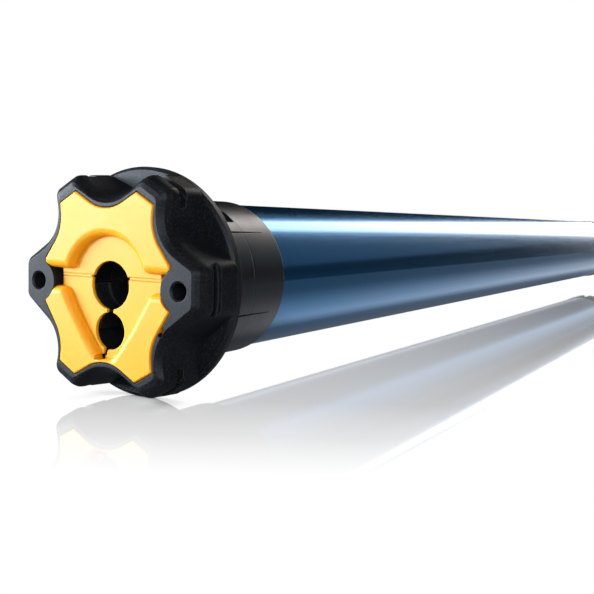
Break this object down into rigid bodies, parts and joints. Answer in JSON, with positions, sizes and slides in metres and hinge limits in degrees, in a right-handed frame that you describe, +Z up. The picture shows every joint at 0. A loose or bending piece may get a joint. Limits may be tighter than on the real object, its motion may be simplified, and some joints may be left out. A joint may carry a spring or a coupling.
{
  "type": "roller shutter motor",
  "caption": "Tubular motor that drives a roller shutter from inside its tube, with a star-shaped bracket head, a free crown and a geared drive wheel.",
  "frame": {"origin": "middle of the head's front face, half way between the two bracket screw holes", "axes": "+Y along the tube from the head to the drive wheel, +Z up with the supply socket below the axis, +X to the right when the face is looked at"},
  "size_m": [0.0644, 0.6054, 0.0634],
  "materials": {
    "board_header": "green header",
    "board_tray": "natural moulding",
    "brake_armature": "ground steel",
    "brake_coil": "enamelled copper",
    "brake_disc": "friction lining",
    "brake_lining": "friction lining",
    "brake_spring": "ground steel",
    "brake_yoke": "ground steel",
    "cable_socket": "black moulding",
    "capacitor_rings": "natural moulding",
    "carrier_1": "sintered steel",
    "carrier_2": "sintered steel",
    "carrier_3": "sintered steel",
    "contact_pins": "tinned brass",
    "control_board": "green laminate",
    "crown": "satin black moulding",
    "drive_wheel": "satin black moulding",
    "encoder_magnet": "bonded ferrite",
    "encoder_pinion": "acetal",
    "face_cover": "satin yellow moulding",
    "filter_capacitors": "sleeved aluminium cans",
    "front_bearing": "sintered bronze",
    "front_shield": "die cast",
    "gearbox_plate": "die cast",
    "gearbox_ring": "sintered steel",
    "head_housing": "fine textured black glass-filled nylon",
    "head_screws": "zinc-plated steel",
    "motor_leads": "silicone-insulated copper",
    "motor_tube": "glossy metallic blue paint",
    "output_bearing": "sintered bronze",
    "output_shaft": "ground steel",
    "planet_1a": "acetal",
    "planet_1b": "acetal",
    "planet_1c": "acetal",
    "planet_2a": "sintered steel",
    "planet_2b": "sintered steel",
    "planet_2c": "sintered steel",
    "planet_3a": "sintered steel",
    "planet_3b": "sintered steel",
    "planet_3c": "sintered steel",
    "power_transformer": "taped ferrite",
    "processor_chip": "black epoxy",
    "radio_module": "tinned shield",
    "rear_bearing": "sintered bronze",
    "rear_shield": "die cast",
    "relay_down": "blue case",
    "relay_up": "blue case",
    "rotor_core": "laminated steel",
    "rotor_shaft": "ground steel",
    "run_capacitor": "drawn can",
    "sensor_board": "green laminate",
    "stator_core": "laminated steel",
    "stator_windings": "enamelled copper",
    "sun_gear_1": "ground steel",
    "supply_wires": "silicone-insulated copper",
    "tail_housing": "die cast",
    "tail_screws": "zinc-plated steel",
    "varistor": "blue disc",
    "wheel_clip": "ground steel"
  },
  "bodies": {
    "motor": {"board_header": "board_header", "board_tray": "board_tray", "brake_coil": "brake_coil", "brake_lining": "brake_lining", "brake_spring": "brake_spring", "brake_yoke": "brake_yoke", "cable_socket": "cable_socket", "capacitor_rings": "capacitor_rings", "contact_pins": "contact_pins", "control_board": "control_board", "face_cover": "face_cover", "filter_capacitors": "filter_capacitors", "front_bearing": "front_bearing", "front_shield": "front_shield", "gearbox_plate": "gearbox_plate", "gearbox_ring": "gearbox_ring", "head_housing": "head_housing", "head_screws": "head_screws", "motor_leads": "motor_leads", "motor_tube": "motor_tube", "output_bearing": "output_bearing", "power_transformer": "power_transformer", "processor_chip": "processor_chip", "radio_module": "radio_module", "rear_bearing": "rear_bearing", "rear_shield": "rear_shield", "relay_down": "relay_down", "relay_up": "relay_up", "run_capacitor": "run_capacitor", "sensor_board": "sensor_board", "stator_core": "stator_core", "stator_windings": "stator_windings", "supply_wires": "supply_wires", "tail_housing": "tail_housing", "tail_screws": "tail_screws", "varistor": "varistor"},
    "crown_body": {"crown": "crown"},
    "counting_wheel": {"encoder_pinion": "encoder_pinion", "encoder_magnet": "encoder_magnet"},
    "rotor": {"rotor_core": "rotor_core", "rotor_shaft": "rotor_shaft", "sun_gear_1": "sun_gear_1", "brake_disc": "brake_disc"},
    "armature": {"brake_armature": "brake_armature"},
    "stage_1": {"carrier_1": "carrier_1"},
    "stage_2": {"carrier_2": "carrier_2"},
    "output": {"carrier_3": "carrier_3", "output_shaft": "output_shaft", "drive_wheel": "drive_wheel", "wheel_clip": "wheel_clip"},
    "planet_gear_1a": {"planet_1a": "planet_1a"},
    "planet_gear_1b": {"planet_1b": "planet_1b"},
    "planet_gear_1c": {"planet_1c": "planet_1c"},
    "planet_gear_2a": {"planet_2a": "planet_2a"},
    "planet_gear_2b": {"planet_2b": "planet_2b"},
    "planet_gear_2c": {"planet_2c": "planet_2c"},
    "planet_gear_3a": {"planet_3a": "planet_3a"},
    "planet_gear_3b": {"planet_3b": "planet_3b"},
    "planet_gear_3c": {"planet_3c": "planet_3c"}
  },
  "joints": [
    {"name": "crown_turn", "type": "hinge", "parent": "motor", "child": "crown_body", "pos_m": [0, 0.033, 0], "axis": [0, 1, 0], "continuous": true},
    {"name": "counting_wheel_turn", "type": "hinge", "parent": "motor", "child": "counting_wheel", "pos_m": [0, 0.049, 0.0176], "axis": [0, 1, 0], "continuous": true},
    {"name": "rotor_turn", "type": "hinge", "parent": "motor", "child": "rotor", "pos_m": [0, 0.384, 0], "axis": [0, 1, 0], "continuous": true},
    {"name": "brake_release", "type": "slide", "parent": "motor", "child": "armature", "axis": [0, -1, 0], "range_m": [0, 0.0004], "stiffness_N_per_m": 4000, "springref_m": -0.005, "deforming": ["brake_spring"]},
    {"name": "stage_1_turn", "type": "hinge", "parent": "motor", "child": "stage_1", "pos_m": [0, 0.4935, 0], "axis": [0, 1, 0], "continuous": true},
    {"name": "stage_2_turn", "type": "hinge", "parent": "motor", "child": "stage_2", "pos_m": [0, 0.5155, 0], "axis": [0, 1, 0], "continuous": true},
    {"name": "output_turn", "type": "hinge", "parent": "motor", "child": "output", "pos_m": [0, 0.57, 0], "axis": [0, 1, 0], "continuous": true},
    {"name": "planet_1a_spin", "type": "hinge", "parent": "stage_1", "child": "planet_gear_1a", "pos_m": [0.01155, 0.485, 0], "axis": [0, 1, 0], "continuous": true},
    {"name": "planet_1b_spin", "type": "hinge", "parent": "stage_1", "child": "planet_gear_1b", "pos_m": [-0.00577, 0.485, 0.01], "axis": [0, 1, 0], "continuous": true},
    {"name": "planet_1c_spin", "type": "hinge", "parent": "stage_1", "child": "planet_gear_1c", "pos_m": [-0.00577, 0.485, -0.01], "axis": [0, 1, 0], "continuous": true},
    {"name": "planet_2a_spin", "type": "hinge", "parent": "stage_2", "child": "planet_gear_2a", "pos_m": [0.01155, 0.506, 0], "axis": [0, 1, 0], "continuous": true},
    {"name": "planet_2b_spin", "type": "hinge", "parent": "stage_2", "child": "planet_gear_2b", "pos_m": [-0.00577, 0.506, 0.01], "axis": [0, 1, 0], "continuous": true},
    {"name": "planet_2c_spin", "type": "hinge", "parent": "stage_2", "child": "planet_gear_2c", "pos_m": [-0.00577, 0.506, -0.01], "axis": [0, 1, 0], "continuous": true},
    {"name": "planet_3a_spin", "type": "hinge", "parent": "output", "child": "planet_gear_3a", "pos_m": [0.01155, 0.5295, 0], "axis": [0, 1, 0], "continuous": true},
    {"name": "planet_3b_spin", "type": "hinge", "parent": "output", "child": "planet_gear_3b", "pos_m": [-0.00577, 0.5295, 0.01], "axis": [0, 1, 0], "continuous": true},
    {"name": "planet_3c_spin", "type": "hinge", "parent": "output", "child": "planet_gear_3c", "pos_m": [-0.00577, 0.5295, -0.01], "axis": [0, 1, 0], "continuous": true}
  ],
  "couplings": [
    {"joint": "counting_wheel_turn", "follows": "crown_turn", "ratio": 5},
    {"joint": "stage_1_turn", "follows": "rotor_turn", "ratio": 0.18182},
    {"joint": "stage_2_turn", "follows": "rotor_turn", "ratio": 0.033058},
    {"joint": "output_turn", "follows": "rotor_turn", "ratio": 0.0060105},
    {"joint": "planet_1a_spin", "follows": "rotor_turn", "ratio": -0.46753},
    {"joint": "planet_1b_spin", "follows": "rotor_turn", "ratio": -0.46753},
    {"joint": "planet_1c_spin", "follows": "rotor_turn", "ratio": -0.46753},
    {"joint": "planet_2a_spin", "follows": "rotor_turn", "ratio": -0.085006},
    {"joint": "planet_2b_spin", "follows": "rotor_turn", "ratio": -0.085006},
    {"joint": "planet_2c_spin", "follows": "rotor_turn", "ratio": -0.085006},
    {"joint": "planet_3a_spin", "follows": "rotor_turn", "ratio": -0.015456},
    {"joint": "planet_3b_spin", "follows": "rotor_turn", "ratio": -0.015456},
    {"joint": "planet_3c_spin", "follows": "rotor_turn", "ratio": -0.015456}
  ]
}
